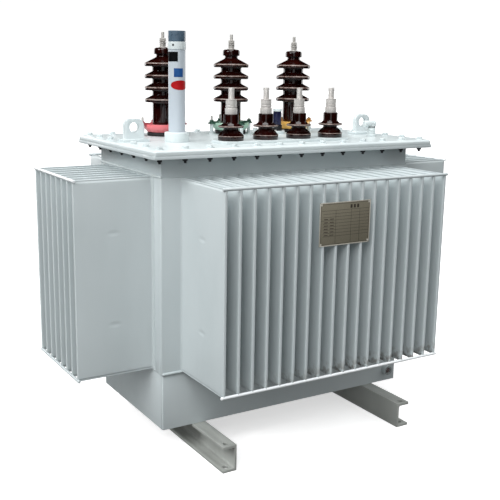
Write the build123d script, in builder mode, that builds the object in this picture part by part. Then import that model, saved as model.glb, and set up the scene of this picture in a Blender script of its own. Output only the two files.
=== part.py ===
from build123d import *
import os

# Oil filled distribution transformer with a corrugated fin tank.
# Origin at the middle of the footprint, ground at z = 0, low voltage side
# towards -Y, high voltage side towards +Y, long side along X. Millimetres.

# Fin walls: the pitch of the folds sets the scale of everything else
fin_pitch = 45.0
front_fin_count = 18
side_fin_count = 8
fin_thickness = 8.0
fin_lip_thickness = 3.0
fin_lip_height = 12.0
fin_taper_height = 26.0
fin_tip_bevel = 2.0
fin_tip_taper = 20.0
front_fin_depth = 246.0
side_fin_depth = 231.0
fin_margin_bottom = 13.0
fin_margin_top = 7.0
stay_radius = 4.0
stay_overhang = 5.0
stay_stand_out = 2.0
stay_lift = 2.0

# Tank shell: the walls end a margin beyond their outermost fins
wall_margin_x = 67.5
wall_margin_y = 68.5
wall_height = 578.0
wall_sheet = 10.0
wall_corner = 4.0
wall_return = 16.0
side_sheet_inset = 2.0
lower_height = 172.0
lower_step = 4.0
lower_plate = 8.0
lower_corner = 3.0
lower_return = 12.0
floor_plate = 8.0

# Neck and rim under the lid
neck_step = 4.0
neck_height = 59.0
neck_plate = 8.0
neck_corner = 3.0
neck_return = 12.0
rim_overhang_x = 50.0
rim_overhang_y = 63.0
rim_plate = 10.0

# Lid
lid_plate = 15.0
lid_bevel = 5.0
lid_corner = 8.0

# Base rails: standard 80 mm channels, open to the outside
rail_height = 80.0
rail_flange = 45.0
rail_web = 6.0
rail_flange_plate = 8.0
rail_root_radius = 6.0
rail_half_length = 410.0
rail_web_x = 302.0
rail_hole_radius = 9.0
rail_hole_offset = 25.0
rail_hole_inset = 20.0

# High voltage bushings, in a row at the back
hv_pitch = 252.0
hv_inset = 118.0
hv_foot_radius = 54.0
hv_foot_height = 12.0
hv_body_radius = 34.0
hv_flange_radius = 63.0
hv_flange_height = 25.0
hv_flange_bevel = 12.0
hv_clearance = 0.3
hv_shed_radius = 58.0
hv_shed_count = 4
hv_first_shed = 111.5
hv_shed_pitch = 37.6
hv_brim = 10.0
hv_brim_bevel = 3.0
hv_shed_rise = 18.0
hv_top_shed_rise = 25.0
hv_neck_radius = 21.0
hv_cap_radius = 28.0
hv_cap_bottom = 258.0
hv_cap_top = 277.0
hv_cap_bevel = 7.0
hv_stud_radius = 5.0
hv_nut_radius = 10.5
hv_nut_height = 8.0
hv_nut_gap = 7.0
hv_stud_length = 48.6

# Low voltage bushings, in a row at the front on a raised pad
lv_pitch = 122.0
lv_inset = 134.0
lv_pad_margin = 43.0
lv_pad_half_y = 45.0
lv_pad_height = 8.0
lv_pad_corner = 6.0
lv_foot_radius = 39.0
lv_foot_height = 14.0
lv_waist_radius = 21.5
lv_waist_height = 33.0
lv_shed_radius = 39.0
lv_shed_height = 41.0
lv_brim = 5.0
lv_brim_bevel = 1.3
lv_collar_radius = 22.8
lv_collar_bottom = 53.0
lv_porcelain_height = 77.0
lv_terminal_radius = 16.5
lv_terminal_height = 44.0
lv_terminal_bevel = 1.5
lv_stud_radius = 9.0
lv_stud_length = 33.0

# Oil gauge pipe
gauge_inset = 185.0
gauge_y = -50.0
gauge_socket_radius = 37.0
gauge_socket_height = 29.0
gauge_socket_bevel = 2.0
gauge_pipe_radius = 25.0
gauge_pipe_length = 240.0
gauge_collar_radius = 26.5
gauge_collar_height = 22.0
gauge_cap_radius = 25.5
gauge_cap_height = 32.0
gauge_cap_bevel = 1.5

# Lifting lugs at the two short ends of the lid
lug_inset = 66.0
lug_width = 62.0
lug_plate = 16.0
lug_height = 67.0
lug_hole_radius = 15.5
lug_hole_height = 42.0
lug_corner = 20.0
lug_foot_width = 84.0
lug_foot_depth = 46.0
lug_foot_height = 8.0

# Tap changer beside the low voltage bushings
tap_x = 157.0
tap_y = 118.0
tap_flange_radius = 27.0
tap_flange_height = 9.0
tap_skirt_radius = 17.0
tap_skirt_height = 20.0
tap_body_radius = 14.5
tap_body_height = 46.0
tap_rim_radius = 16.0
tap_rim_height = 8.0

# Filler valve near the right lug
filler_inset = 101.0
filler_y = -100.0
filler_foot_radius = 15.5
filler_foot_height = 8.0
filler_radius = 13.0
filler_head_radius = 10.5
filler_head_height = 42.0
filler_head_left = 32.0
filler_head_right = 13.0

# Drain valve low on the front wall
drain_inset = 42.0
drain_rise = 41.0
drain_radius = 16.0
drain_length = 18.0
drain_bore_radius = 10.0
drain_bore_depth = 12.0

# Rating plate on the front fins
plate_x = 7.0
plate_drop = 113.0
plate_width = 179.0
plate_height = 124.0
plate_thickness = 2.0
plate_corner = 3.0

# Sizes that follow from the ones above
wall_half_x = (front_fin_count - 1) / 2 * fin_pitch + wall_margin_x
wall_half_y = (side_fin_count - 1) / 2 * fin_pitch + wall_margin_y
wall_bottom_z = rail_height + lower_height
wall_top_z = wall_bottom_z + wall_height
fin_bottom_z = wall_bottom_z + fin_margin_bottom
fin_top_z = wall_top_z - fin_margin_top
lower_half_x = wall_half_x - lower_step
lower_half_y = wall_half_y - lower_step
neck_half_x = wall_half_x - neck_step
neck_half_y = wall_half_y - neck_step
rim_bottom_z = wall_top_z + neck_height
rim_top_z = rim_bottom_z + rim_plate
lid_half_x = neck_half_x + rim_overhang_x
lid_half_y = neck_half_y + rim_overhang_y
lid_top_z = rim_top_z + lid_plate
hv_y = lid_half_y - hv_inset
lv_y = lv_inset - lid_half_y
lv_seat_z = lid_top_z + lv_pad_height
lv_terminal_z = lv_seat_z + lv_porcelain_height
lug_x = lid_half_x - lug_inset
gauge_x = gauge_inset - lid_half_x
filler_x = lid_half_x - filler_inset
drain_x = lower_half_x - drain_inset
drain_z = rail_height + drain_rise
fin_tip_y = wall_half_y + front_fin_depth

os.makedirs("parts", exist_ok=True)


def save(piece, label):
    piece.part.label = label
    export_step(piece.part, "parts/" + label + ".step")


def plate_ring(half_x, half_y, plate, corner):
    # Plan of the four wall plates as one ring with lightly rounded corners
    with BuildSketch() as ring:
        RectangleRounded(2 * half_x, 2 * half_y, corner)
        Rectangle(2 * (half_x - plate), 2 * (half_y - plate), mode=Mode.SUBTRACT)
    return ring.sketch


def ring_quarter(ring, half_x, half_y, turn_in, side_x, side_y):
    # One of the four plates cut from the ring. The long plates keep the
    # rounded corners and turn in by a short return, the short ones lie between.
    add(ring)
    if side_y:
        with Locations((0, side_y * (half_y - turn_in / 2))):
            Rectangle(2 * half_x, turn_in, mode=Mode.INTERSECT)
    else:
        with Locations((side_x * (half_x - turn_in / 2), 0)):
            Rectangle(turn_in, 2 * (half_y - turn_in), mode=Mode.INTERSECT)


def upright(x, y, z):
    # Plane through a vertical axis, for the half outline of a round part
    return Plane(origin=(x, y, z), x_dir=(1, 0, 0), z_dir=(0, -1, 0))


def fin_spots(count):
    return [(i - (count - 1) / 2) * fin_pitch for i in range(count)]


def fin_plan(thickness, depth):
    # Plan of one fin: its root against the sheet, narrowing to its folded tip
    half = thickness / 2
    tip_half = half - min(fin_tip_bevel, half / 2)
    with BuildSketch() as plan:
        with BuildLine():
            Polyline(
                (-half, 0),
                (half, 0),
                (half, depth - fin_tip_taper),
                (tip_half, depth),
                (-tip_half, depth),
                (-half, depth - fin_tip_taper),
                close=True,
            )
        make_face()
    return plan.sketch


def fin_blade(depth):
    # One folded fin, pinched thin and welded along its top and bottom
    lip_z = (fin_bottom_z, fin_top_z - fin_lip_height)
    taper_low = fin_bottom_z + fin_lip_height
    taper_high = fin_top_z - fin_lip_height
    with BuildPart() as blade:
        for z in lip_z:
            with BuildSketch(Plane.XY.offset(z)):
                add(fin_plan(fin_lip_thickness, depth))
            extrude(amount=fin_lip_height)
        with BuildSketch(Plane.XY.offset(taper_low + fin_taper_height)):
            add(fin_plan(fin_thickness, depth))
        extrude(amount=taper_high - taper_low - 2 * fin_taper_height)
        for thin_z, thick_z in (
            (taper_low, taper_low + fin_taper_height),
            (taper_high, taper_high - fin_taper_height),
        ):
            with BuildSketch(Plane.XY.offset(thin_z)):
                add(fin_plan(fin_lip_thickness, depth))
            with BuildSketch(Plane.XY.offset(thick_z)):
                add(fin_plan(fin_thickness, depth))
            loft()
    return blade.part


def stay_length(count):
    return (count - 1) * fin_pitch + fin_thickness + 2 * stay_overhang


# Base rails
for side, label in ((-1, "rail_left"), (1, "rail_right")):
    with BuildPart() as rail:
        with BuildSketch(Plane.XZ.offset(-rail_half_length)) as section:
            with Locations((side * (rail_web_x + rail_flange / 2), rail_height / 2)):
                Rectangle(rail_flange, rail_height)
            with Locations((side * (rail_web_x + rail_web + rail_flange / 2), rail_height / 2)):
                Rectangle(
                    rail_flange,
                    rail_height - 2 * rail_flange_plate,
                    mode=Mode.SUBTRACT,
                )
            root_x = side * (rail_web_x + rail_web)
            roots = section.vertices().filter_by(lambda v: abs(v.X - root_x) < 0.1)
            fillet(roots, rail_root_radius)
        extrude(amount=2 * rail_half_length)
        hole_x = side * (rail_web_x + rail_hole_offset)
        hole_y = rail_half_length - rail_hole_inset
        with Locations((hole_x, hole_y, rail_height), (hole_x, -hole_y, rail_height)):
            Hole(rail_hole_radius, depth=rail_height)
    save(rail, label)

# Tank floor, resting on the rails inside the lower plates
floor_x = 2 * (lower_half_x - lower_plate)
floor_y = 2 * (lower_half_y - lower_plate)
with BuildPart() as tank_floor:
    with BuildSketch(Plane.XY.offset(rail_height)):
        Rectangle(floor_x, floor_y)
    extrude(amount=floor_plate)
save(tank_floor, "tank_floor")

# Lower box plates, between the rails and the fin walls
lower_ring = plate_ring(lower_half_x, lower_half_y, lower_plate, lower_corner)
quarters = (("front", 0, -1), ("back", 0, 1), ("left", -1, 0), ("right", 1, 0))
for name, side_x, side_y in quarters:
    with BuildPart() as lower_wall:
        with BuildSketch(Plane.XY.offset(rail_height)):
            ring_quarter(lower_ring, lower_half_x, lower_half_y, lower_return, side_x, side_y)
        extrude(amount=wall_bottom_z - rail_height)
    save(lower_wall, "lower_" + name + "_plate")

# Fin walls: a base sheet, a row of folded fins and two stays along their tips
wall_ring = plate_ring(wall_half_x, wall_half_y, wall_sheet, wall_corner)
side_root_x = wall_half_x - side_sheet_inset
side_blade_depth = side_fin_depth + side_sheet_inset
front_blade = fin_blade(front_fin_depth)
side_blade = fin_blade(side_blade_depth)
fin_walls = (
    ("front", 0, -1, 180, wall_half_y, front_fin_depth, front_fin_count, front_blade),
    ("back", 0, 1, 0, wall_half_y, front_fin_depth, front_fin_count, front_blade),
    ("left", -1, 0, 90, side_root_x, side_blade_depth, side_fin_count, side_blade),
    ("right", 1, 0, 270, side_root_x, side_blade_depth, side_fin_count, side_blade),
)
for name, side_x, side_y, turn, start, depth, count, blade in fin_walls:
    root = Plane(
        origin=(side_x * start, side_y * start, 0),
        x_dir=(-side_y, side_x, 0),
        z_dir=(side_x, side_y, 0),
    )
    with BuildPart() as fin_wall:
        with BuildSketch(Plane.XY.offset(wall_bottom_z)):
            ring_quarter(wall_ring, wall_half_x, wall_half_y, wall_return, side_x, side_y)
            if side_x:
                with Locations((side_x * (wall_half_x - side_sheet_inset / 2), 0)):
                    Rectangle(side_sheet_inset, 2 * wall_half_y, mode=Mode.SUBTRACT)
        extrude(amount=wall_top_z - wall_bottom_z)
        for spot in fin_spots(count):
            fin_x = side_x * start + abs(side_y) * spot
            fin_y = side_y * start + abs(side_x) * spot
            with Locations(Location((fin_x, fin_y, 0), (0, 0, turn))):
                add(blade)
        rod_start = root.offset(depth + stay_stand_out - stay_radius)
        for rod_z in (fin_top_z + stay_lift, fin_bottom_z - stay_lift):
            rod_end = rod_start.origin - rod_start.x_dir * stay_length(count) / 2
            rod_plane = Plane(origin=rod_end + Vector(0, 0, rod_z), z_dir=rod_start.x_dir)
            with BuildSketch(rod_plane):
                RegularPolygon(stay_radius, 8, rotation=22.5, major_radius=False)
            extrude(amount=stay_length(count))
    save(fin_wall, name + "_fin_wall")

# Neck plates with the rim flange the lid is bolted to
neck_ring = plate_ring(neck_half_x, neck_half_y, neck_plate, neck_corner)
for name, side_x, side_y in quarters:
    with BuildPart() as neck:
        with BuildSketch(Plane.XY.offset(wall_top_z)):
            ring_quarter(neck_ring, neck_half_x, neck_half_y, neck_return, side_x, side_y)
        extrude(amount=rim_bottom_z - wall_top_z)
        inside_x = neck_half_x - neck_return
        inside_y = neck_half_y - neck_return
        with BuildSketch(Plane.XY.offset(rim_bottom_z)):
            if side_y:
                with Locations((0, side_y * (lid_half_y + inside_y) / 2)):
                    Rectangle(2 * lid_half_x, lid_half_y - inside_y)
            else:
                with Locations((side_x * (lid_half_x + inside_x) / 2, 0)):
                    Rectangle(lid_half_x - inside_x, 2 * inside_y)
        extrude(amount=rim_plate)
    save(neck, "neck_" + name)

# Lid
with BuildPart() as lid:
    with BuildSketch(Plane.XY.offset(rim_top_z)):
        RectangleRounded(2 * lid_half_x, 2 * lid_half_y, lid_corner)
    extrude(amount=lid_top_z - rim_top_z)
    chamfer(lid.faces().sort_by(Axis.Z)[-1].edges(), lid_bevel)
save(lid, "lid")

# Raised pad under the low voltage bushings
with BuildPart() as lv_pad:
    with BuildSketch(Plane.XY.offset(lid_top_z)):
        with Locations((0, lv_y)):
            RectangleRounded(3 * lv_pitch + 2 * lv_pad_margin, 2 * lv_pad_half_y, lv_pad_corner)
    extrude(amount=lv_pad_height)
save(lv_pad, "lv_pad")


def hv_outline():
    # Foot, plain body, sheds with sloped tops and flat undersides, domed cap
    points = [(0, 0), (hv_foot_radius, 0), (hv_foot_radius, hv_foot_height)]
    radius = hv_body_radius
    points.append((radius, hv_foot_height))
    for i in range(hv_shed_count):
        brim = hv_first_shed + i * hv_shed_pitch
        points.append((radius, brim - hv_brim / 2))
        points.append((hv_shed_radius, brim - hv_brim / 2))
        points.append((hv_shed_radius, brim + hv_brim / 2))
        rise = hv_shed_rise
        if i == hv_shed_count - 1:
            radius = hv_neck_radius
            rise = hv_top_shed_rise
        points.append((radius, brim + rise))
    points.append((hv_neck_radius, hv_cap_bottom))
    points.append((hv_cap_radius, hv_cap_bottom))
    points.append((hv_cap_radius, hv_cap_top))
    points.append((0, hv_cap_top))
    with BuildSketch() as outline:
        with BuildLine():
            Polyline(*points, close=True)
        make_face()
        corners = outline.vertices()
        brims = corners.filter_by_position(Axis.X, hv_shed_radius - 0.1, hv_shed_radius + 0.1)
        chamfer(brims, hv_brim_bevel)
        top = corners.filter_by_position(Axis.X, hv_cap_radius - 0.1, hv_cap_radius + 0.1)
        chamfer(top.sort_by(Axis.Y)[-1], hv_cap_bevel)
    return outline.sketch


def lv_outline():
    # Bell foot, waist, one shed and the plain collar under the terminal
    with BuildSketch() as outline:
        with BuildLine():
            Polyline(
                (0, 0),
                (lv_foot_radius, 0),
                (lv_foot_radius, lv_foot_height),
                (lv_waist_radius, lv_waist_height),
                (lv_waist_radius, lv_shed_height - lv_brim),
                (lv_shed_radius, lv_shed_height - lv_brim / 2),
                (lv_shed_radius, lv_shed_height + lv_brim / 2),
                (lv_collar_radius, lv_collar_bottom),
                (lv_collar_radius, lv_porcelain_height),
                (0, lv_porcelain_height),
                close=True,
            )
        make_face()
        corners = outline.vertices()
        rims = corners.filter_by_position(Axis.X, lv_shed_radius - 0.1, lv_shed_radius + 0.1)
        brims = rims.filter_by_position(Axis.Y, lv_foot_height + 1, lv_porcelain_height)
        chamfer(brims, lv_brim_bevel)
    return outline.sketch


hv_shape = hv_outline()
lv_shape = lv_outline()
for i in range(3):
    x = (i - 1) * hv_pitch
    number = str(i + 1)
    with BuildPart() as hv_bushing:
        with BuildSketch(upright(x, hv_y, lid_top_z)):
            add(hv_shape)
        revolve(axis=Axis((x, hv_y, 0), (0, 0, 1)))
    save(hv_bushing, "hv_bushing_" + number)

    with BuildPart() as hv_flange:
        with BuildSketch(Plane.XY.offset(lid_top_z + hv_foot_height)):
            with Locations((x, hv_y)):
                Circle(hv_flange_radius)
                Circle(hv_body_radius + hv_clearance, mode=Mode.SUBTRACT)
        extrude(amount=hv_flange_height)
        underside = hv_flange.edges().group_by(Axis.Z)[0].sort_by(SortBy.LENGTH)[-1]
        chamfer(underside, hv_flange_bevel)
    save(hv_flange, "hv_flange_" + number)

    with BuildPart() as hv_terminal:
        with BuildSketch(Plane.XY.offset(lid_top_z + hv_cap_top)):
            with Locations((x, hv_y)):
                Circle(hv_stud_radius)
        extrude(amount=hv_stud_length)
        for step in range(2):
            nut_z = lid_top_z + hv_cap_top + hv_nut_gap + step * (hv_nut_height + hv_nut_gap)
            with BuildSketch(Plane.XY.offset(nut_z)):
                with Locations((x, hv_y)):
                    RegularPolygon(hv_nut_radius, 6)
            extrude(amount=hv_nut_height)
    save(hv_terminal, "hv_terminal_" + number)

lv_spots = [((i - 1.5) * lv_pitch, lv_y) for i in range(4)]
for i, (x, y) in enumerate(lv_spots):
    with BuildPart() as lv_bushing:
        with BuildSketch(upright(x, y, lv_seat_z)):
            add(lv_shape)
        revolve(axis=Axis((x, y, 0), (0, 0, 1)))
    save(lv_bushing, "lv_bushing_" + str(i + 1))

with BuildPart() as lv_terminals:
    with BuildSketch(Plane.XY.offset(lv_terminal_z)):
        with Locations(*lv_spots):
            Circle(lv_terminal_radius)
    extrude(amount=lv_terminal_height)
    chamfer(lv_terminals.edges().group_by(Axis.Z)[-1], lv_terminal_bevel)
    with BuildSketch(Plane.XY.offset(lv_terminal_z + lv_terminal_height)):
        with Locations(*lv_spots):
            Circle(lv_stud_radius)
    extrude(amount=lv_stud_length)
save(lv_terminals, "lv_terminals")

# Oil gauge: socket, pipe, collar and sight cap, one on the other
gauge_steps = (
    ("gauge_socket", gauge_socket_radius, gauge_socket_height, gauge_socket_bevel),
    ("gauge_pipe", gauge_pipe_radius, gauge_pipe_length, 0),
    ("gauge_collar", gauge_collar_radius, gauge_collar_height, 0),
    ("gauge_cap", gauge_cap_radius, gauge_cap_height, gauge_cap_bevel),
)
bottom = lid_top_z
for label, radius, height, bevel in gauge_steps:
    with BuildPart() as step:
        with BuildSketch(Plane.XY.offset(bottom)):
            with Locations((gauge_x, gauge_y)):
                Circle(radius)
        extrude(amount=height)
        if bevel:
            chamfer(step.faces().sort_by(Axis.Z)[-1].edges(), bevel)
    save(step, label)
    bottom += height

# Lifting lugs
for side, label in ((-1, "lifting_lug_left"), (1, "lifting_lug_right")):
    with BuildPart() as lug:
        with BuildSketch(Plane.XY.offset(lid_top_z)):
            with Locations((side * lug_x, 0)):
                Rectangle(lug_foot_width, lug_foot_depth)
        extrude(amount=lug_foot_height)
        with BuildSketch(Plane.XZ) as eye:
            with Locations((side * lug_x, lid_top_z + lug_height / 2)):
                Rectangle(lug_width, lug_height)
            fillet(eye.vertices().group_by(Axis.Y)[-1], lug_corner)
            with Locations((side * lug_x, lid_top_z + lug_hole_height)):
                Circle(lug_hole_radius, mode=Mode.SUBTRACT)
        extrude(amount=lug_plate / 2, both=True)
    save(lug, label)

# Tap changer: flange, and a capped knob on a wider skirt
with BuildPart() as tap_changer_base:
    with BuildSketch(Plane.XY.offset(lid_top_z)):
        with Locations((tap_x, tap_y)):
            Circle(tap_flange_radius)
    extrude(amount=tap_flange_height)
save(tap_changer_base, "tap_changer_base")

with BuildPart() as tap_changer_cap:
    bottom = lid_top_z + tap_flange_height
    for radius, height in (
        (tap_skirt_radius, tap_skirt_height),
        (tap_body_radius, tap_body_height),
        (tap_rim_radius, tap_rim_height),
    ):
        with BuildSketch(Plane.XY.offset(bottom)):
            with Locations((tap_x, tap_y)):
                Circle(radius)
        extrude(amount=height)
        bottom += height
save(tap_changer_cap, "tap_changer_cap")

# Filler valve: upright stem with a cross head
with BuildPart() as filler_valve:
    for radius, height in (
        (filler_foot_radius, filler_foot_height),
        (filler_radius, filler_head_height),
    ):
        with BuildSketch(Plane.XY.offset(lid_top_z)):
            with Locations((filler_x, filler_y)):
                Circle(radius)
        extrude(amount=height)
    head = Plane(
        origin=(filler_x - filler_head_left, filler_y, lid_top_z + filler_head_height),
        x_dir=(0, 1, 0),
        z_dir=(1, 0, 0),
    )
    with BuildSketch(head):
        Circle(filler_head_radius)
    extrude(amount=filler_head_left + filler_head_right)
save(filler_valve, "filler_valve")

# Drain valve
with BuildPart() as drain_valve:
    mouth = Plane(origin=(drain_x, -lower_half_y, drain_z), x_dir=(1, 0, 0), z_dir=(0, -1, 0))
    with BuildSketch(mouth):
        Circle(drain_radius)
    extrude(amount=drain_length)
    with BuildSketch(mouth.offset(drain_length)):
        Circle(drain_bore_radius)
    extrude(amount=-drain_bore_depth, mode=Mode.SUBTRACT)
save(drain_valve, "drain_valve")

# Rating plate, lying on the tips of the front fins
with BuildPart() as rating_plate:
    with BuildSketch(Plane.XZ.offset(fin_tip_y)):
        with Locations((plate_x, fin_top_z - plate_drop)):
            RectangleRounded(plate_width, plate_height, plate_corner)
    extrude(amount=plate_thickness)
save(rating_plate, "rating_plate")
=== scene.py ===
"""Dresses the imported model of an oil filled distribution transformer.

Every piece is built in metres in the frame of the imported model: X along the
long side, -Y towards the low voltage side, Z up. The whole unit is one body.
"""

import math

import bmesh
import bpy
from mathutils import Matrix, Vector


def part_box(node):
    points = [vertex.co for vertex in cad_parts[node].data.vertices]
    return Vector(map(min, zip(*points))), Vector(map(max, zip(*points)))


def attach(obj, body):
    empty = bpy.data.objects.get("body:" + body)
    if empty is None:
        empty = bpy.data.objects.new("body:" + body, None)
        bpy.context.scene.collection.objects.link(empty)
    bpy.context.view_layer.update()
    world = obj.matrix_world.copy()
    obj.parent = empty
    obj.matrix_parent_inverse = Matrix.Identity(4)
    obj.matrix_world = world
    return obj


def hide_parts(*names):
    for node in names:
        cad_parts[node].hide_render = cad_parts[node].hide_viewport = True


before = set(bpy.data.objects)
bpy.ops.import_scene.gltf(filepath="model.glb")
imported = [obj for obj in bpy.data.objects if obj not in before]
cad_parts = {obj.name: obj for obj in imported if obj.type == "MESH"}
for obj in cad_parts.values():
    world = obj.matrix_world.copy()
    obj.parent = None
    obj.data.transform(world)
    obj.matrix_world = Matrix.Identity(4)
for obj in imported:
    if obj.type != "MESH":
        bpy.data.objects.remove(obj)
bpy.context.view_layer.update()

MM = 0.001
BODY = "root"

# Places read from the frame
lid_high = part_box("lid")[1]
front_low, front_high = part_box("front_fin_wall")
side_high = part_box("right_fin_wall")[1]
neck_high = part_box("neck_front")[1]
LID_TOP = lid_high.z
WALL_BOTTOM = front_low.z
WALL_TOP = front_high.z


# Geometry helpers

SHARP_ANGLE = math.radians(35)
SOFT_ANGLE = math.radians(30)
FLAT_ANGLE = math.radians(1)
HEXAGON_CONE = 0.12
# Depth of a thread as a share of its pitch, and rows of points to a turn
THREAD_DEPTH = 0.3
THREAD_ROWS = 4


def upward(height):
    return Vector((0, 0, height))


def round_the_axis(angle):
    return Vector((math.cos(angle), math.sin(angle), 0))


def middle_at(low, high, z):
    """The middle of a box in plan, at a height."""
    return Vector(((low.x + high.x) / 2, (low.y + high.y) / 2, z))


def rounded(corners, steps=5):
    """Rounds the corners of an open 2D line. Each corner is (x, y, radius)."""
    line = []
    for i, (x, y, radius) in enumerate(corners):
        here = Vector((x, y))
        if radius <= 0 or i in (0, len(corners) - 1):
            line.append(here)
            continue
        back = (Vector(corners[i - 1][:2]) - here).normalized()
        ahead = (Vector(corners[i + 1][:2]) - here).normalized()
        half = back.angle(ahead) / 2
        cut = radius / math.tan(half)
        centre = here + (back + ahead).normalized() * (radius / math.sin(half))
        first = here + back * cut - centre
        last = here + ahead * cut - centre
        turn = first.angle_signed(last)
        for s in range(steps + 1):
            line.append(centre + Matrix.Rotation(-turn * s / steps, 2) @ first)
    return line


def lathe(mesh, profile, place, turns=56, closed=False):
    """Spins a line of (radius, height) round the upright axis through a place."""
    rings = []
    for radius, height in profile:
        if radius < 1e-6:
            rings.append([mesh.verts.new((place[0], place[1], place[2] + height))])
            continue
        ring = []
        for s in range(turns):
            a = 2 * math.pi * s / turns
            spot = (radius * math.cos(a), radius * math.sin(a), height)
            ring.append(mesh.verts.new(Vector(place) + Vector(spot)))
        rings.append(ring)
    pairs = list(zip(rings, rings[1:]))
    if closed:
        pairs.append((rings[-1], rings[0]))
    for low, high in pairs:
        for s in range(turns):
            n = (s + 1) % turns
            if len(low) == 1 and len(high) == 1:
                continue
            if len(low) == 1:
                mesh.faces.new((low[0], high[s], high[n]))
            elif len(high) == 1:
                mesh.faces.new((low[s], low[n], high[0]))
            else:
                mesh.faces.new((low[s], low[n], high[n], high[s]))


def turned(mesh, line, place, turns=56, steps=5, closed=False):
    """Spins a line of (radius, height, corner radius), all in mm."""
    profile = [(point.x * MM, point.y * MM) for point in rounded(line, steps)]
    lathe(mesh, profile, place, turns, closed)


def stack(mesh, outlines):
    """Joins a stack of matching closed outlines, capped at both ends."""
    rings = [[mesh.verts.new(point) for point in outline] for outline in outlines]
    count = len(rings[0])
    for low, high in zip(rings, rings[1:]):
        for s in range(count):
            n = (s + 1) % count
            mesh.faces.new((low[s], low[n], high[n], high[s]))
    mesh.faces.new(tuple(reversed(rings[0])))
    mesh.faces.new(tuple(rings[-1]))


def hexagon(mesh, place, radius, height, spin):
    """A hexagon nut or bolt head with its corners turned off at both faces."""
    cone = HEXAGON_CONE
    outlines = []
    for level, scale in ((0, 1 - cone), (cone, 1), (1 - cone, 1), (1, 1 - cone)):
        outline = []
        for s in range(6):
            a = math.pi * s / 3 + spin
            spot = (radius * scale * math.cos(a), radius * scale * math.sin(a), height * level)
            outline.append(Vector(place) + Vector(spot))
        outlines.append(outline)
    stack(mesh, outlines)


def disc(mesh, place, radius, height, edge=0.3, turns=24):
    """A washer or disc with its top edge slightly rounded."""
    bevel = min(edge * MM, height / 2)
    profile = [(0, 0), (radius, 0), (radius, height - bevel), (radius - bevel, height), (0, height)]
    lathe(mesh, profile, place, turns)


def thread(mesh, place, radius, height, pitch, turns=20):
    """A threaded stud, with a real helix cut into it and a bevelled end."""
    depth = THREAD_DEPTH * pitch
    rows = int(height / pitch * THREAD_ROWS)
    rings = []
    for row in range(rows + 1):
        z = height * row / rows
        ring = []
        for s in range(turns):
            phase = (z / pitch - s / turns) % 1.0
            r = radius - depth * (1 - abs(2 * phase - 1))
            if row >= rows - 1:
                r = min(r, radius - depth * (row - rows + 2))
            a = 2 * math.pi * s / turns
            spot = (r * math.cos(a), r * math.sin(a), z)
            ring.append(Vector(place) + Vector(spot))
        rings.append(ring)
    stack(mesh, rings)


def bevelled(mesh, edges, width):
    bmesh.ops.bevel(
        mesh,
        geom=edges,
        offset=width,
        segments=2,
        affect="EDGES",
        profile=0.5,
        clamp_overlap=True,
    )


def block(mesh, low, high, bevel):
    """A box between two corners, with its edges bevelled."""
    made = bmesh.ops.create_cube(mesh, size=1.0)["verts"]
    low, high = Vector(low), Vector(high)
    size = high - low
    for vert in made:
        vert.co = (low + high) / 2 + Vector([vert.co[i] * size[i] for i in range(3)])
    edges = {edge for vert in made for edge in vert.link_edges}
    bevelled(mesh, list(edges), bevel)


def merge(mesh, other):
    """Adds another mesh to this one."""
    data = bpy.data.meshes.new("part")
    other.to_mesh(data)
    other.free()
    mesh.from_mesh(data)
    bpy.data.meshes.remove(data)


def new_object(name, mesh, material):
    data = bpy.data.meshes.new(name)
    mesh.to_mesh(data)
    mesh.free()
    data.materials.append(material)
    made = bpy.data.objects.new(name, data)
    bpy.context.collection.objects.link(made)
    return made


def piece(name, mesh, material, node=None):
    """Finishes a mesh as a named piece that rides on the body."""
    bmesh.ops.recalc_face_normals(mesh, faces=mesh.faces)
    for face in mesh.faces:
        face.smooth = True
    for edge in mesh.edges:
        edge.smooth = edge.calc_face_angle(0.0) < SHARP_ANGLE
    made = new_object(name, mesh, material)
    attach(made, BODY)
    if node:
        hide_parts(node)


def softened(node, width, material):
    """Stands a copy with softly rounded edges in the place of a CAD node."""
    mesh = bmesh.new()
    mesh.from_mesh(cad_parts[node].data)
    bmesh.ops.remove_doubles(mesh, verts=mesh.verts, dist=0.01 * MM)
    bmesh.ops.dissolve_limit(mesh, angle_limit=FLAT_ANGLE, verts=mesh.verts, edges=mesh.edges)
    edges = [edge for edge in mesh.edges if edge.calc_face_angle(0.0) > SOFT_ANGLE]
    bevelled(mesh, edges, width)
    piece(node + "_soft", mesh, material, node=node)


# Material helpers

# Values between which nearly all of a noise lies
NOISE_LOW = 0.3
NOISE_HIGH = 0.7
# Where dirt lies: its heights, and where it starts and is fullest along X
SOIL_FOOT = 262 * MM
SOIL_TOP = 300 * MM
SOIL_LEFT = -350 * MM
SOIL_RIGHT = 50 * MM
SOIL_COVER = 0.75
SOIL_SCALE = 65.0
SOIL_PATCHES = (0.44, 0.58)
# Places of the colour sockets among those of a mix node
MIX_FIRST = 6
MIX_SECOND = 7
MIX_RESULT = 2


def shader(name, **values):
    """A new material, with the shader's own sockets set to plain values."""
    material = bpy.data.materials.new(name)
    material.use_nodes = True
    surface = material.node_tree.nodes["Principled BSDF"]
    for key, value in values.items():
        surface.inputs[key.replace("_", " ")].default_value = value
    return material, material.node_tree, surface


def rgb(red, green, blue):
    """A linear colour from 0 to 255 screen values."""
    def channel(value):
        part = value / 255
        return part / 12.92 if part <= 0.04045 else ((part + 0.055) / 1.055) ** 2.4
    return (channel(red), channel(green), channel(blue), 1.0)


def add_noise(tree, scale, detail, stretch=(1, 1, 1)):
    """Noise in object space, so that it has a real size and stays in place."""
    where = tree.nodes.new("ShaderNodeTexCoord")
    size = tree.nodes.new("ShaderNodeMapping")
    size.inputs["Scale"].default_value = stretch
    noise = tree.nodes.new("ShaderNodeTexNoise")
    noise.inputs["Scale"].default_value = scale
    noise.inputs["Detail"].default_value = detail
    tree.links.new(where.outputs["Object"], size.inputs["Vector"])
    tree.links.new(size.outputs["Vector"], noise.inputs["Vector"])
    return noise.outputs["Fac"]


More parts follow.
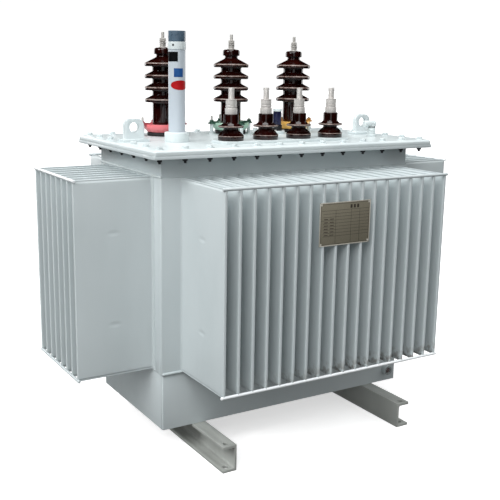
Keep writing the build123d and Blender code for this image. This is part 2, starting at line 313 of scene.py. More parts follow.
def add_ramp(tree, source, stops):
    """A colour ramp through stops of (position, colour)."""
    ramp = tree.nodes.new("ShaderNodeValToRGB")
    points = ramp.color_ramp.elements
    while len(points) < len(stops):
        points.new(0.5)
    for point, (position, colour) in zip(points, stops):
        point.position = position
        point.color = colour
    tree.links.new(source, ramp.inputs["Fac"])
    return ramp.outputs["Color"]


def add_range(tree, source, low, high, start=NOISE_LOW, end=NOISE_HIGH):
    """Maps a value that runs from start to end to one that runs from low to high."""
    change = tree.nodes.new("ShaderNodeMapRange")
    change.inputs["From Min"].default_value = start
    change.inputs["From Max"].default_value = end
    change.inputs["To Min"].default_value = low
    change.inputs["To Max"].default_value = high
    tree.links.new(source, change.inputs["Value"])
    return change.outputs["Result"]


def add_product(tree, first, second):
    product = tree.nodes.new("ShaderNodeMath")
    product.operation = "MULTIPLY"
    tree.links.new(first, product.inputs[0])
    tree.links.new(second, product.inputs[1])
    return product.outputs["Value"]


def add_bump(tree, surface, source, height):
    """Bump of a real height in metres."""
    bump = tree.nodes.new("ShaderNodeBump")
    bump.inputs["Strength"].default_value = 1.0
    bump.inputs["Distance"].default_value = height
    tree.links.new(source, bump.inputs["Height"])
    tree.links.new(bump.outputs["Normal"], surface.inputs["Normal"])


def add_soil(tree, tone, soil):
    """Dry dirt in patches low on the fins, with more of it to the right."""
    where = tree.nodes.new("ShaderNodeTexCoord")
    axes = tree.nodes.new("ShaderNodeSeparateXYZ")
    tree.links.new(where.outputs["Object"], axes.inputs["Vector"])
    patches = add_range(tree, add_noise(tree, SOIL_SCALE, 4.0), 0, 1, *SOIL_PATCHES)
    height = add_range(tree, axes.outputs["Z"], 0, 1, SOIL_TOP, SOIL_FOOT)
    side = add_range(tree, axes.outputs["X"], 0, SOIL_COVER, SOIL_LEFT, SOIL_RIGHT)
    cover = add_product(tree, add_product(tree, patches, height), side)
    mix = tree.nodes.new("ShaderNodeMix")
    mix.data_type = "RGBA"
    tree.links.new(cover, mix.inputs["Factor"])
    tree.links.new(tone, mix.inputs[MIX_FIRST])
    mix.inputs[MIX_SECOND].default_value = rgb(*soil)
    return mix.outputs[MIX_RESULT]


# Kinds of material. Colours are from 0 to 255, noise scales in waves a metre


def paint(name, colour, dusty, rough=0.38, orange_peel=0.10, soil=None):
    """Sprayed enamel: faint cloudy tone, orange peel and varied gloss."""
    material, tree, surface = shader(name, Coat_Weight=0.25, Coat_Roughness=0.22)
    clouds = add_noise(tree, 5.0, 4.0, (1, 1, 0.35))
    tone = add_ramp(tree, clouds, ((0.30, rgb(*dusty)), (0.62, rgb(*colour))))
    if soil:
        tone = add_soil(tree, tone, soil)
    tree.links.new(tone, surface.inputs["Base Color"])
    gloss = add_noise(tree, 38.0, 3.0)
    tree.links.new(add_range(tree, gloss, rough - 0.07, rough + 0.09), surface.inputs["Roughness"])
    add_bump(tree, surface, add_noise(tree, 420.0, 2.0), orange_peel * MM)
    return material


def glaze(name, colour, dark):
    """Glazed porcelain: deep gloss over a faintly uneven body."""
    material, tree, surface = shader(name, Specular_IOR_Level=0.55)
    clouds = add_noise(tree, 30.0, 4.0)
    tone = add_ramp(tree, clouds, ((0.35, rgb(*dark)), (0.65, rgb(*colour))))
    tree.links.new(tone, surface.inputs["Base Color"])
    tree.links.new(add_range(tree, clouds, 0.05, 0.09), surface.inputs["Roughness"])
    add_bump(tree, surface, add_noise(tree, 60.0, 2.0), 0.25 * MM)
    return material


def worn_metal(name, light, dark, rough, metal, grain=(1, 1, 8)):
    """Handled metal, with streaks of tone and gloss along its grain."""
    material, tree, surface = shader(name, Metallic=metal)
    streaks = add_noise(tree, 180.0, 4.0, grain)
    tone = add_ramp(tree, streaks, ((0.30, rgb(*dark)), (0.70, rgb(*light))))
    tree.links.new(tone, surface.inputs["Base Color"])
    gloss = add_range(tree, streaks, rough - 0.08, rough + 0.12)
    tree.links.new(gloss, surface.inputs["Roughness"])
    add_bump(tree, surface, streaks, 0.03 * MM)
    return material


def moulded(name, colour, dark, rough, shine=0.5):
    """Plastic, rubber or thick paint, with a fine grain."""
    material, tree, surface = shader(name, Specular_IOR_Level=shine)
    clouds = add_noise(tree, 60.0, 3.0)
    tone = add_ramp(tree, clouds, ((0.3, rgb(*dark)), (0.7, rgb(*colour))))
    tree.links.new(tone, surface.inputs["Base Color"])
    tree.links.new(add_range(tree, clouds, rough - 0.06, rough + 0.08), surface.inputs["Roughness"])
    add_bump(tree, surface, add_noise(tree, 900.0, 2.0), 0.04 * MM)
    return material


# Materials

TANK_GREY = (195, 204, 206)
TANK_DUSTY = (187, 197, 199)
tank_paint = paint("tank_enamel", TANK_GREY, TANK_DUSTY)
soiled_paint = paint("soiled_enamel", TANK_GREY, TANK_DUSTY, soil=(100, 89, 78))
lid_paint = paint("lid_enamel", (207, 216, 217), (196, 206, 208), 0.42)
pipe_paint = paint("pipe_enamel", (186, 195, 203), (176, 186, 194), 0.42)
rail_paint = paint("rail_enamel", (170, 174, 170), (146, 149, 145), 0.46)
weld_paint = paint("painted_weld", (196, 206, 207), (180, 191, 193), 0.40, 0.5)
# A whiter copy of the enamel, as painted highlight on the stays that catch the light; the duller
# one is the stays' own enamel
highlight_stay_paint = paint("highlight_stay_paint", (240, 244, 246), (228, 233, 235), 0.30)
dull_stay_paint = paint("dull_stay_paint", (196, 204, 206), (184, 193, 195), 0.42)
porcelain = glaze("brown_glaze", (34, 7, 5), (14, 3, 2))
# Paler glaze for the bands on the brims' upper edges: a painted highlight, partly also glaze that
# runs thin there
brim_highlight_glaze = moulded("brim_highlight_glaze", (150, 138, 132), (92, 72, 66), 0.2)
silver = worn_metal("plated_terminal", (214, 211, 208), (184, 180, 176), 0.34, 0.25)
bright_steel = worn_metal("plated_stud", (204, 202, 198), (166, 163, 158), 0.30, 0.3)
dark_steel = worn_metal("dark_steel", (98, 97, 98), (62, 60, 62), 0.5, 1.0)
plate_metal = worn_metal(
    "rating_plate_metal", (146, 141, 124), (126, 121, 105), 0.42, 0.25, (8, 1, 1)
)
plate_edge = worn_metal("rating_plate_edge", (222, 220, 210), (190, 187, 176), 0.36, 0.2)
plate_ink = moulded("rating_plate_lines", (66, 60, 52), (50, 45, 39), 0.5)
rubber = moulded("black_rubber", (24, 23, 24), (14, 13, 14), 0.6)
navy_plastic = moulded("navy_knob", (20, 24, 62), (12, 15, 44), 0.32)
black_plastic = moulded("black_skirt", (20, 21, 26), (12, 13, 17), 0.4)
gauge_tint = moulded("sight_cap", (84, 104, 120), (62, 80, 96), 0.28)
plug_rust = moulded("worn_plug", (124, 112, 110), (92, 80, 78), 0.6)
label_black = moulded("label_black", (8, 9, 14), (5, 6, 9), 0.5, 0.08)
label_blue = moulded("label_blue", (38, 82, 140), (28, 68, 122), 0.4, 0.15)
label_red = moulded("label_red", (172, 22, 28), (150, 16, 22), 0.4, 0.15)
# The one phase paint of each bushing in two copies: lighter on the dishes as painted highlight,
# darker on the clamps and their nuts as painted shade
lit_dish_phase_colours = {
    "red": paint("red_lit_paint", (222, 120, 124), (208, 100, 106), 0.30),
    "green": paint("green_lit_paint", (178, 210, 192), (150, 190, 168), 0.30),
    "yellow": paint("yellow_lit_paint", (252, 200, 110), (240, 182, 88), 0.30),
}
shaded_clamp_phase_colours = {
    "red": paint("red_shaded_paint", (168, 70, 76), (140, 48, 54), 0.34),
    "green": paint("green_shaded_paint", (44, 88, 70), (28, 62, 48), 0.34),
    "yellow": paint("yellow_shaded_paint", (196, 138, 44), (160, 106, 30), 0.34),
}


# Corrugated fin walls

LONG_FINS = 18
SIDE_FINS = 8
FIN_PITCH = 45 * MM
FIN_THICK = 9 * MM
# The crest of a fold in mm, as distance from its edge and half thickness: a
# weld bead on a flat lip, then the shoulder where the fold opens
CREST = (
    (0, 0.7),
    (0.6, 1.4),
    (1.8, 1.6),
    (2.8, 1.1),
    (4.2, 1.1),
    (8.0, 3.9),
    (10.0, 4.2),
    (27.0, 4.2),
    (31.0, 4.5),
)
TIP_CORNER = 2.5 * MM
TIP_STEPS = 4
ROOT_FLARE = 6 * MM
ROOT_BEND = 0.3 * ROOT_FLARE
FRONT_SHIFT = 2 * MM
FIN_MARGIN_LOW = 3 * MM
STAY_RADIUS = 4.5 * MM
STAY_DROP = 2 * MM
STAY_OVERHANG = 5 * MM
STAY_STAND_OUT = 2 * MM
SHEET = 10 * MM
SHEET_BEVEL = 1.2 * MM
SIDE_SHEET_BEVEL = 1.0 * MM
WALL_CORNER = 4 * MM
WALL_INNER_CORNER = 0.5 * MM
WALL_RETURN = 16 * MM
SIDE_INSET = 2 * MM
DIMPLE_RISE = 133 * MM
DIMPLE_HALF_WIDTH = 26 * MM
DIMPLE_HALF_HEIGHT = 11 * MM
DIMPLE_DEPTH = 1.1 * MM
DIMPLE_CUTS = 11
# Place of the face with the dimples, counted from the root along an outline
DIMPLE_FACE = 3
FIN_BOTTOM = WALL_BOTTOM + FIN_MARGIN_LOW
FIN_TOP = WALL_TOP
FIN_MIDDLE = (FIN_BOTTOM + FIN_TOP) / 2
WALL_HALF_X = front_high.x
WALL_HALF_Y = -front_high.y + WALL_RETURN
# The paint of the upper and of the lower stay: the stays' own enamel, or a whiter copy of it as
# painted highlight
LONG_STAYS = (dull_stay_paint, highlight_stay_paint)
SIDE_STAYS = (highlight_stay_paint, dull_stay_paint)


def fin_levels():
    """Heights and half thicknesses of one fold, pinched at top and bottom."""
    levels = [(FIN_BOTTOM + rise * MM, half * MM) for rise, half in CREST]
    for rise in (-DIMPLE_RISE - DIMPLE_HALF_HEIGHT, -DIMPLE_RISE + DIMPLE_HALF_HEIGHT):
        levels.append((FIN_MIDDLE + rise, FIN_THICK / 2))
    return levels + [(FIN_BOTTOM + FIN_TOP - z, half) for z, half in reversed(levels)]


def fin_outline(half, depth):
    """Half plan of one fold, from the wall to the middle of its rounded tip."""
    corner = min(TIP_CORNER, half * 0.9)
    line = [(half + ROOT_FLARE, 0), (half + ROOT_BEND, ROOT_BEND), (half, ROOT_FLARE)]
    line += [(half, depth / 2 - DIMPLE_HALF_WIDTH), (half, depth / 2 + DIMPLE_HALF_WIDTH)]
    for s in range(TIP_STEPS + 1):
        a = math.pi / 2 * s / TIP_STEPS
        x = half - corner + corner * math.cos(a)
        line.append((x, depth - corner + corner * math.sin(a)))
    return line


def fin(mesh, matrix, depth):
    """One folded fin. Locally x is across it and y points out from the wall."""
    levels = fin_levels()
    rings = []
    for z, half in levels:
        right = fin_outline(half, depth)
        outline = [(-x, y) for x, y in right] + [(0, depth)] + list(reversed(right))
        rings.append([mesh.verts.new(matrix @ Vector((x, y, z))) for x, y in outline])
    last = len(rings[0]) - 2
    dimpled = []
    for level, (low, high) in enumerate(zip(rings, rings[1:])):
        centre = (levels[level][0] + levels[level + 1][0]) / 2
        at_dimple = abs(abs(centre - FIN_MIDDLE) - DIMPLE_RISE) < MM
        for s in range(last + 1):
            face = mesh.faces.new((low[s], low[s + 1], high[s + 1], high[s]))
            if at_dimple and s in (DIMPLE_FACE, last - DIMPLE_FACE):
                dimpled.append(face)
    mesh.faces.new(tuple(reversed(rings[0])))
    mesh.faces.new(tuple(rings[-1]))
    return dimpled


def press_dimples(mesh, dimpled, depth, count):
    """Presses a shallow oval into each of the fins' dimpled faces."""
    edges = {edge for face in dimpled for edge in face.edges}
    bmesh.ops.subdivide_edges(mesh, edges=list(edges), cuts=DIMPLE_CUTS, use_grid_fill=True)
    # Half a pitch when the count is even, so that the folds lie on whole steps
    offset = (count % 2 - 1) / 2
    for vert in mesh.verts:
        rise = abs(vert.co.z - FIN_MIDDLE) - DIMPLE_RISE
        out = vert.co.y - depth / 2
        reach = math.hypot(rise / DIMPLE_HALF_HEIGHT, out / DIMPLE_HALF_WIDTH)
        if reach < 0.999:
            fold = round(vert.co.x / FIN_PITCH - offset) + offset
            side = math.copysign(1, vert.co.x - fold * FIN_PITCH)
            vert.co.x -= side * DIMPLE_DEPTH * (0.5 + 0.5 * math.cos(math.pi * reach))


def fin_wall(name, turn, start, depth, count, stays_lit_or_plain, shift=0.0, finish=tank_paint):
    """The folds of one wall, and the two round stays welded along their tips."""
    matrix = Matrix.Rotation(turn, 4, "Z") @ Matrix.Translation((-shift, start, 0))
    mesh = bmesh.new()
    dimpled = []
    for i in range(count):
        spot = (i - (count - 1) / 2) * FIN_PITCH
        dimpled += fin(mesh, Matrix.Translation((spot, 0, 0)), depth)
    press_dimples(mesh, dimpled, depth, count)
    mesh.transform(matrix)
    piece(name + "_fins", mesh, finish, node=name + "_fin_wall")
    half = (count - 1) / 2 * FIN_PITCH + FIN_THICK / 2 + STAY_OVERHANG
    rod = [(0, -half), (STAY_RADIUS - MM, -half), (STAY_RADIUS, -half + MM)]
    rod += [(STAY_RADIUS, half - MM), (STAY_RADIUS - MM, half), (0, half)]
    lay_down = Matrix.Rotation(math.pi / 2, 4, "Y")
    levels = (FIN_TOP - STAY_DROP, FIN_BOTTOM + STAY_DROP)
    for place, level, stay_lit_or_plain in zip(("top", "foot"), levels, stays_lit_or_plain):
        stay = bmesh.new()
        lathe(stay, rod, (0, 0, 0), 20)
        at = Matrix.Translation((0, depth + STAY_STAND_OUT - STAY_RADIUS, level))
        stay.transform(matrix @ at @ lay_down)
        piece(name + "_stay_" + place, stay, stay_lit_or_plain)


def wall_sheet(name, sign_y):
    """The long wall sheet, with its rounded corners and short returns."""
    inset = WALL_HALF_Y - WALL_RETURN
    outlines = []
    for shrink, corner in ((0, WALL_CORNER), (SHEET, WALL_INNER_CORNER)):
        x, y = WALL_HALF_X - shrink, WALL_HALF_Y - shrink
        line = [(-x, -inset, 0), (-x, -y, corner), (x, -y, corner), (x, -inset, 0)]
        outlines.append(rounded(line, 6))
    plan = outlines[0] + list(reversed(outlines[1]))
    mesh = bmesh.new()
    stack(mesh, [[Vector((p.x, -sign_y * p.y, z)) for p in plan] for z in (WALL_BOTTOM, WALL_TOP)])
    edges = [e for e in mesh.edges if abs(e.verts[0].co.z - e.verts[1].co.z) < MM]
    bmesh.ops.bevel(mesh, geom=edges, offset=SHEET_BEVEL, segments=2, affect="EDGES", profile=0.5)
    piece(name, mesh, tank_paint)


SIDE_START = WALL_HALF_X - SIDE_INSET
SIDE_HALF = WALL_HALF_Y - WALL_RETURN
LONG_DEPTH = -front_low.y - STAY_STAND_OUT - WALL_HALF_Y
SIDE_DEPTH = side_high.x - STAY_STAND_OUT - SIDE_START
LONG_WALL = (WALL_HALF_Y, LONG_DEPTH, LONG_FINS, LONG_STAYS)
SIDE_WALL = (SIDE_START, SIDE_DEPTH, SIDE_FINS, SIDE_STAYS)
fin_wall("back", 0, *LONG_WALL)
fin_wall("front", math.pi, *LONG_WALL, FRONT_SHIFT, soiled_paint)
fin_wall("left", math.pi / 2, *SIDE_WALL)
fin_wall("right", -math.pi / 2, *SIDE_WALL)
wall_sheet("front_sheet", -1)
wall_sheet("back_sheet", 1)
for side, name in ((-1, "left_sheet"), (1, "right_sheet")):
    mesh = bmesh.new()
    ends = sorted((side * SIDE_START, side * (WALL_HALF_X - SHEET)))
    low = (ends[0], -SIDE_HALF, WALL_BOTTOM)
    block(mesh, low, (ends[1], SIDE_HALF, WALL_TOP), SIDE_SHEET_BEVEL)
    piece(name, mesh, tank_paint)


# Weld beads: along the feet of the long sheets, up the corner seams, and on
# the ledge above the side fins

BEAD_TURNS = 8
BEAD_STEP = 3 * MM
BEAD_RADIUS = 4 * MM
BEAD_INSET = 2 * MM
SEAM_RADIUS = 3.4 * MM
SEAM_INSET = 35 * MM
SEAM_SINK = 0.5 * MM
FOOT_RISE = 4 * MM
LEDGE_RISE = 3 * MM
LEDGE_SINK = 1 * MM
# Ripple as a share of the radius: of a weld by hand, and of a smooth one
HAND_RIPPLE = 0.12
SMOOTH_RIPPLE = 0.04


def bead(mesh, start, end, radius, ripple):
    """A weld bead: a tube along a line, with the small ripples of the weld."""
    start, end = Vector(start), Vector(end)
    cuts = max(1, round((end - start).length / BEAD_STEP))
    path = [start.lerp(end, i / cuts) for i in range(cuts)]
    path.append(end)
    rings = []
    for i, spot in enumerate(path):
        ahead = path[min(i + 1, len(path) - 1)] - path[max(i - 1, 0)]
        side = ahead.orthogonal().normalized()
        other = ahead.normalized().cross(side)
        swell = radius * (1 + ripple * math.sin(i * 1.9) + 0.5 * ripple * math.sin(i * 0.37))
        if i in (0, len(path) - 1):
            swell *= 0.5
        ring = []
        for s in range(BEAD_TURNS):
            a = 2 * math.pi * s / BEAD_TURNS
            ring.append(spot + side * swell * math.cos(a) + other * swell * math.sin(a))
        rings.append(ring)
    stack(mesh, rings)


beads = bmesh.new()
reach = WALL_HALF_X - BEAD_INSET
foot = WALL_BOTTOM + FOOT_RISE
for side_y in (-1, 1):
    y = side_y * WALL_HALF_Y
    bead(beads, (-reach, y, foot), (reach, y, foot), BEAD_RADIUS, SMOOTH_RIPPLE)
    for side_x in (-1, 1):
        x = side_x * (SIDE_START - SEAM_SINK)
        for inset in (0, SEAM_INSET):
            y = side_y * (SIDE_HALF - inset)
            bead(beads, (x, y, WALL_BOTTOM), (x, y, WALL_TOP), SEAM_RADIUS, HAND_RIPPLE)
reach = WALL_HALF_Y - BEAD_INSET
ledge = WALL_TOP + LEDGE_RISE
for side_x in (-1, 1):
    x = side_x * (SIDE_START - LEDGE_SINK)
    bead(beads, (x, -reach, ledge), (x, reach, ledge), BEAD_RADIUS, SMOOTH_RIPPLE)
piece("wall_beads", beads, weld_paint)


# Plates, rails, lid and lugs with softened edges

PLATE_SOFTNESS = 1.0 * MM
LID_SOFTNESS = 0.8 * MM
LUG_SOFTNESS = 1.5 * MM
for node in sorted(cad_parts):
    if node.startswith(("lower_", "neck_")) or node == "tank_floor":
        softened(node, PLATE_SOFTNESS, tank_paint)
    if node.startswith("rail_"):
        softened(node, PLATE_SOFTNESS, rail_paint)
for node in ("lid", "lv_pad", "gauge_socket", "tap_changer_base"):
    softened(node, LID_SOFTNESS, lid_paint)
for node in ("lifting_lug_left", "lifting_lug_right"):
    softened(node, LUG_SOFTNESS, lid_paint)
softened("drain_valve", LID_SOFTNESS, tank_paint)


# Lid bolts, with their nuts under the rim

# Bolts on a long edge with its corners, and on a short edge without them
LONG_BOLTS = 13
SHORT_BOLTS = 5
BOLT_INSET_X = 28 * MM
BOLT_INSET_Y = 27 * MM
BOLT_RADIUS = 4 * MM
BOLT_TAIL = 14 * MM
BOLT_SPIN = 0.37
HEAD_RADIUS = 9.5 * MM
HEAD_HEIGHT = 6.5 * MM
WASHER_RADIUS = 12 * MM
WASHER_HEIGHT = 2.2 * MM
RIM_PLATE = 10 * MM
NUT_RADIUS = 7.6 * MM
NUT_HEIGHT = 6.0 * MM
NUT_WASHER_RADIUS = NUT_RADIUS * 1.15


def lid_bolt_spots():
    across = lid_high.x - BOLT_INSET_X
    along = lid_high.y - BOLT_INSET_Y
    middle = (LONG_BOLTS - 1) / 2
    for i in range(LONG_BOLTS):
        x = (i - middle) * across / middle
        yield x, -along
        yield x, along
    for i in range(1, SHORT_BOLTS + 1):
        y = -along + 2 * along * i / (SHORT_BOLTS + 1)
        yield -across, y
        yield across, y


bolts = bmesh.new()
nuts = bmesh.new()
under = neck_high.z - RIM_PLATE
tail = [(0, -BOLT_TAIL), (BOLT_RADIUS - MM, -BOLT_TAIL), (BOLT_RADIUS, MM - BOLT_TAIL)]
tail += [(BOLT_RADIUS, -MM), (0, -MM)]
for number, (x, y) in enumerate(lid_bolt_spots()):
    spin = number * BOLT_SPIN
    disc(bolts, (x, y, LID_TOP), WASHER_RADIUS, WASHER_HEIGHT)
    hexagon(bolts, (x, y, LID_TOP + WASHER_HEIGHT), HEAD_RADIUS, HEAD_HEIGHT, spin)
    disc(nuts, (x, y, under - WASHER_HEIGHT), NUT_WASHER_RADIUS, WASHER_HEIGHT)
    hexagon(nuts, (x, y, under - WASHER_HEIGHT - NUT_HEIGHT), NUT_RADIUS, NUT_HEIGHT, spin)
    lathe(nuts, tail, (x, y, under), 12)
piece("lid_bolts", bolts, lid_paint)
piece("lid_nuts", nuts, dark_steel)


# High voltage bushings. Profiles here and below are (radius, height, corner
# radius) in mm, from the foot of their piece

HV_SHEDS = 4
HV_BODY = 34
HV_NECK = 21
SHED_FIRST = 111.5
SHED_STEP = 37.6
SHED_HALF = 5.0
# Heights over a brim at which its upper slope ends and the body starts
SHED_SLOPE = (16.0, 19.0)
TOP_SHED_SLOPE = (23.0, 26.0)
# How far the painted highlight band stands proud of the glaze and sinks into it
BRIM_HIGHLIGHT_PROUD = 0.15
BRIM_HIGHLIGHT_SINK = 0.6
HV_GASKET = [(0, 0, 0), (50, 0, 1.5), (52, 5, 3), (51, 11.5, 1.5), (0, 11.5, 0)]
CLAMP_CIRCLE = 73 * MM
CLAMP_STUD = 3.8 * MM
CLAMP_STUD_PITCH = 1.6 * MM
CLAMP_TALL = 15 * MM
CLAMP_SHORT = 5 * MM
CLAMP_PILLAR = 6 * MM
CLAMP_FOOT = 10 * MM
CLAMP_FOOT_HEIGHT = 2.5 * MM
# Sections of a clamp plate in mm: reach, half width, under side and top
CLAMP_PLATE = (
    (49, 8, 0.3, 4.0),
    (61, 9, 0.3, 4.8),
    (66, 9, -3.4, 1.4),
    (80, 9, -3.4, 1.0),
    (84, 5, -3.4, 0.6),
)
CLAMP_UNDER = 3.5 * MM
CLAMP_TOP = 1.2 * MM
CLAMP_WASHER = 9 * MM
CLAMP_WASHER_HEIGHT = 1.5 * MM
CLAMP_NUT = 7.5 * MM
CLAMP_NUT_HEIGHT = 6.5 * MM
CLAMP_STUD_RISE = 7 * MM
HV_STUD = 5 * MM
HV_STUD_PITCH = 1.25 * MM
# Washers on the stud in mm: foot, radius, height, edge and turns
HV_WASHERS = (
    (0, 14, 2.5, 0.6, 28),
    (2.5, 9.5, 4.5, 0.6, 24),
    (15, 11.5, 2, 0.4, 24),
    (17, 8.5, 3, 0.4, 24),
    (20, 11.5, 2, 0.4, 24),
)
# Nuts on the stud: foot in mm and turn
HV_NUTS = ((7, 0.2), (22, 0.9))
HV_NUT = 10.5 * MM
HV_NUT_HEIGHT = 8 * MM


def brim_highlight_band(mesh, below, corner, above, place):
    """A paler band along a brim's upper rounded edge: a painted highlight for the line of light
    there, and partly glaze that runs thin.
    """
    arc = rounded([(*below, 0), corner, (*above, 0)], 6)[1:-1]
    middle = (arc[0] + arc[-1]) / 2
    inside = middle + (middle - Vector(corner[:2])) * 2
    outer = [p + (p - inside).normalized() * BRIM_HIGHLIGHT_PROUD for p in arc]
    inner = [p - (p - inside).normalized() * BRIM_HIGHLIGHT_SINK for p in arc]
    profile = [(p.x * MM, p.y * MM) for p in outer + inner[::-1]]
    lathe(mesh, profile, place, closed=True)


def clamp_ring(number, colour, place, seat):
    """Four clamps round a bushing: studs and pillars, plates and their nuts."""
    studs = bmesh.new()
    pillars = bmesh.new()
    nuts = bmesh.new()
    under = seat - CLAMP_UNDER
    pillar = [(0, 0), (CLAMP_PILLAR, 0), (CLAMP_PILLAR, under), (0, under)]
    for quarter in range(4):
        a = math.pi / 2 * quarter
        out = round_the_axis(a)
        side = Vector((-math.sin(a), math.cos(a), 0))
        foot = place + out * CLAMP_CIRCLE
        disc(pillars, foot, CLAMP_FOOT, CLAMP_FOOT_HEIGHT, 0.5, 20)
        lathe(pillars, pillar, foot, 20)
        outlines = []
        for reach, half, low, high in CLAMP_PLATE:
            ring = []
            for across, level in ((-half, low), (half, low), (half, high), (-half, high)):
                spot = place + out * reach * MM + side * across * MM
                ring.append(spot + upward(seat + level * MM))
            outlines.append(ring)
        stack(nuts, outlines)
        top = seat + CLAMP_TOP
        disc(nuts, foot + upward(top), CLAMP_WASHER, CLAMP_WASHER_HEIGHT, 0.4, 18)
        seated = foot + upward(top + CLAMP_WASHER_HEIGHT)
        hexagon(nuts, seated, CLAMP_NUT, CLAMP_NUT_HEIGHT, a + 0.3)
        tall = CLAMP_TALL if quarter in (1, 2) else CLAMP_SHORT
        base = foot + upward(top + CLAMP_STUD_RISE)
        thread(studs, base, CLAMP_STUD, tall, CLAMP_STUD_PITCH, 14)
    piece("hv_clamp_pillars_%d" % number, pillars, lid_paint)
    # The clamps take the darker copy of the phase paint, as painted shade
    piece("hv_clamps_%d" % number, nuts, shaded_clamp_phase_colours[colour])
    piece("hv_clamp_studs_%d" % number, studs, bright_steel)


def hv_porcelain(number, place, seat, reach, top):
    """The porcelain in mm over its foot, and the painted highlight bands on its brims."""
    body = HV_BODY
    line = [(0, seat, 0), (body, seat, 0.5)]
    edges = bmesh.new()
    for i in range(HV_SHEDS):
        brim = SHED_FIRST + SHED_STEP * i
        under = (reach, brim - SHED_HALF)
        edge = (reach, brim + SHED_HALF, 4.2)
        line += [(body, brim - SHED_HALF, 3.0), (*under, 3.6), edge]
        slope = SHED_SLOPE
        if i == HV_SHEDS - 1:
            body = HV_NECK
            slope = TOP_SHED_SLOPE
        above = (body + 1.5, brim + slope[0])
        line += [(*above, 5.0), (body, brim + slope[1], 2.0)]
        brim_highlight_band(edges, under, edge, above, place)
    line += [(HV_NECK, 257, 2.5), (28, 258, 2.0), (28, top, 8.0), (0, top, 0)]
    mesh = bmesh.new()
    turned(mesh, line, place)
    node = "hv_bushing_%d" % number
    piece("hv_porcelain_%d" % number, mesh, porcelain, node=node)
    piece("hv_brim_highlights_%d" % number, edges, brim_highlight_glaze)


def hv_stud(number, place):
    """The stud on a bushing, with its washers and nuts."""
    node = "hv_terminal_%d" % number
    low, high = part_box(node)
    base = Vector((place.x, place.y, low.z))
    mesh = bmesh.new()
    thread(mesh, base, HV_STUD, high.z - low.z, HV_STUD_PITCH)
    for foot, radius, height, edge, turns in HV_WASHERS:
        disc(mesh, base + upward(foot * MM), radius * MM, height * MM, edge, turns)
    for foot, spin in HV_NUTS:
        hexagon(mesh, base + upward(foot * MM), HV_NUT, HV_NUT_HEIGHT, spin)
    piece("hv_stud_%d" % number, mesh, bright_steel, node=node)


for number, colour in ((1, "red"), (2, "green"), (3, "yellow")):
    low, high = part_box("hv_bushing_%d" % number)
    flange_node = "hv_flange_%d" % number
    flange_low, flange_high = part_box(flange_node)
    place = middle_at(low, high, low.z)
    seat = (flange_low.z - low.z) / MM
    hv_porcelain(number, place, seat, (high.x - low.x) / 2 / MM, (high.z - low.z) / MM)
    mesh = bmesh.new()
    turned(mesh, HV_GASKET, place)
    piece("hv_gasket_%d" % number, mesh, rubber)
    rise = (flange_high.z - flange_low.z) / MM
    dish = [(34.4, 5, 0), (43, 0.4, 2), (51, 0.4, 4), (60, 10, 9), (63, 17, 4), (63, rise, 0.8)]
    dish += [(60.5, rise, 0.8), (58, rise - 3, 1.5), (46, rise - 4.5, 3), (41, rise - 1, 1.5)]
    dish += [(34.4, rise - 1, 0)]
    mesh = bmesh.new()
    turned(mesh, dish, middle_at(low, high, flange_low.z), closed=True)
    # The dish takes the lighter copy of the phase paint, as painted highlight
    lit_dish_colour = lit_dish_phase_colours[colour]
    piece("hv_dish_%d" % number, mesh, lit_dish_colour, node=flange_node)
    clamp_ring(number, colour, place, flange_high.z - place.z)
    hv_stud(number, place)


# Low voltage bushings

LV_SHED_UNDER = (37.2, 38.2)
LV_SHED_EDGE = (39, 43.0, 2.4)
LV_SHED_ABOVE = (30, 44.8)
LV_FOOT_UNDER = (38.3, 0)
LV_FOOT_EDGE = (39, 13.6, 2.6)
LV_FOOT_ABOVE = (33.5, 21.5)
LV_TERMINAL_HEIGHT = 44
LV_TERMINAL = [
    (0, 0, 0),
    (18.2, 0, 0.6),
    (18.2, 17.5, 0.8),
    (15.6, 18.2, 0.4),
    (15.6, 20.6, 0.4),
    (16.8, 21.0, 0.5),
    (16.8, 25.2, 0.5),
    (15.4, 25.7, 0.3),
    (15.4, 27.2, 0.3),
    (16.4, 27.8, 0.5),
    (16.4, 39.2, 0.5),
    (15.4, 39.7, 0.3),
    (15.4, 40.7, 0.3),
    (16.8, 41.0, 0.4),
    (16.8, 43.2, 0.8),
    (0, LV_TERMINAL_HEIGHT, 0),
]
LV_STUD = 9 * MM
LV_STUD_PITCH = 1.5 * MM

terminal_low, terminal_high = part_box("lv_terminals")
stud_rise = LV_TERMINAL_HEIGHT * MM
stud_length = terminal_high.z - terminal_low.z - stud_rise
studs = bmesh.new()
caps = bmesh.new()
for number in range(1, 5):
    node = "lv_bushing_%d" % number
    low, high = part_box(node)
    place = middle_at(low, high, low.z)
    top = (high.z - low.z) / MM
    line = [(0, 0, 0), (*LV_FOOT_UNDER, 1.0), LV_FOOT_EDGE, (*LV_FOOT_ABOVE, 6.0)]
    line += [(23.5, 29.5, 5.0), (21.6, 35.5, 2.0)]
    line += [(*LV_SHED_UNDER, 1.0), LV_SHED_EDGE, (*LV_SHED_ABOVE, 5.0)]
    line += [(24.2, 50, 3.0), (22.6, 53, 0.8), (22.8, top, 1.5), (0, top, 0)]
    mesh = bmesh.new()
    turned(mesh, line, place)
    piece("lv_porcelain_%d" % number, mesh, porcelain, node=node)
    edges = bmesh.new()
    brim_highlight_band(edges, LV_FOOT_UNDER, LV_FOOT_EDGE, LV_FOOT_ABOVE, place)
    brim_highlight_band(edges, LV_SHED_UNDER, LV_SHED_EDGE, LV_SHED_ABOVE, place)
    piece("lv_brim_highlights_%d" % number, edges, brim_highlight_glaze)
    base = middle_at(low, high, terminal_low.z)
    turned(caps, LV_TERMINAL, base, 40, 3)
    thread(studs, base + upward(stud_rise), LV_STUD, stud_length, LV_STUD_PITCH)
piece("lv_nuts", caps, silver, node="lv_terminals")
piece("lv_studs", studs, silver)


# Oil gauge pipe

